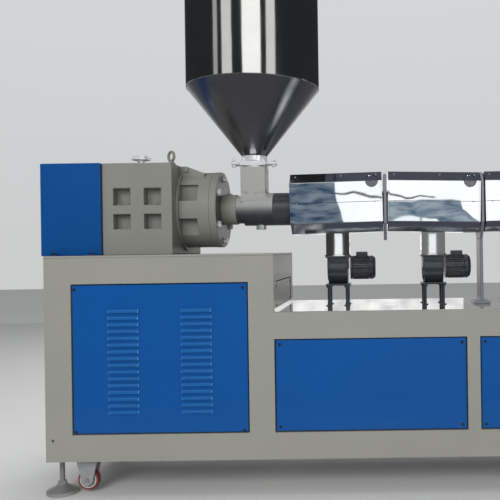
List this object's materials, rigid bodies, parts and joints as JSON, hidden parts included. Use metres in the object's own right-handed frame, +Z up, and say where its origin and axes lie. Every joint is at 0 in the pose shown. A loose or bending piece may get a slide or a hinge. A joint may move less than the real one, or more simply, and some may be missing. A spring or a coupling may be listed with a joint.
{
  "type": "single-screw plastic extruder",
  "caption": "Plastic extruder: box-section base with blue panels, gearbox and belt guard, steel hopper, air-cooled barrel under polished covers, levelling feet and castors.",
  "frame": {"origin": "on the floor, at the middle of the machine's length and width", "axes": "+X along the barrel from the belt guard to the die end, +Y from the operator's side to the back, +Z up"},
  "size_m": [2.349, 0.55, 1.939],
  "materials": {
    "frame_paint": "warm light grey enamel",
    "blue_paint": "blue enamel",
    "casting_paint": "light grey enamel over a sand casting",
    "polished_steel": "mirror-polished stainless sheet",
    "bright_steel": "machined steel",
    "dark_steel": "bare oiled steel",
    "black_paint": "dark enamel",
    "plate_steel": "dark grey sheet",
    "zinc": "pale zinc plate",
    "wheel_nylon": "pale moulded nylon",
    "red_tyre": "red polyurethane"
  },
  "bodies": {
    "machine": {"tall_posts": "frame_paint", "bed_posts": "frame_paint", "bottom_rails": "frame_paint", "cabinet_top_rails": "frame_paint", "bed_top_rails": "frame_paint", "cross_rails": "frame_paint", "panel_strips": "black_paint", "louvre_panel_front": "blue_paint", "louvre_panel_back": "blue_paint", "bed_panel_front_1": "blue_paint", "bed_panel_front_2": "blue_paint", "bed_panel_back_1": "blue_paint", "bed_panel_back_2": "blue_paint", "cabinet_end_panel": "blue_paint", "bed_end_panel": "blue_paint", "step_panel": "frame_paint", "cabinet_top_plate": "frame_paint", "drip_tray": "polished_steel", "foot_pads": "bright_steel", "foot_screws": "bright_steel", "castor_forks": "zinc", "castor_axles": "bright_steel", "belt_guard": "blue_paint", "gearbox_housing": "casting_paint", "breather": "polished_steel", "lifting_eye": "casting_paint", "thrust_housing": "casting_paint", "retaining_ring": "casting_paint", "barrel_collar": "casting_paint", "feed_section": "dark_steel", "throat_block": "casting_paint", "cooling_nipple": "zinc", "throat_flange": "bright_steel", "hopper_spigot": "polished_steel", "hopper_cone": "polished_steel", "hopper_body": "polished_steel", "screw": "bright_steel", "barrel": "dark_steel", "die_flange": "bright_steel", "upper_covers": "polished_steel", "lower_covers": "polished_steel", "divider_plates": "plate_steel", "barrel_stands": "plate_steel", "air_ducts": "polished_steel", "blower_housings": "black_paint", "blower_motors": "black_paint", "blower_legs": "black_paint"},
    "castor_wheel_1": {"wheel_core_1": "wheel_nylon", "wheel_tyre_1": "red_tyre"},
    "castor_wheel_2": {"wheel_core_2": "wheel_nylon", "wheel_tyre_2": "red_tyre"},
    "castor_wheel_3": {"wheel_core_3": "wheel_nylon", "wheel_tyre_3": "red_tyre"},
    "castor_wheel_4": {"wheel_core_4": "wheel_nylon", "wheel_tyre_4": "red_tyre"}
  },
  "joints": [
    {"name": "castor_roll_1", "type": "hinge", "parent": "machine", "child": "castor_wheel_1", "pos_m": [-1.0155, -0.206, 0.046], "axis": [0, 1, 0], "continuous": true},
    {"name": "castor_roll_2", "type": "hinge", "parent": "machine", "child": "castor_wheel_2", "pos_m": [0.9945, -0.206, 0.046], "axis": [0, 1, 0], "continuous": true},
    {"name": "castor_roll_3", "type": "hinge", "parent": "machine", "child": "castor_wheel_3", "pos_m": [-1.0155, 0.206, 0.046], "axis": [0, 1, 0], "continuous": true},
    {"name": "castor_roll_4", "type": "hinge", "parent": "machine", "child": "castor_wheel_4", "pos_m": [0.9945, 0.206, 0.046], "axis": [0, 1, 0], "continuous": true}
  ]
}
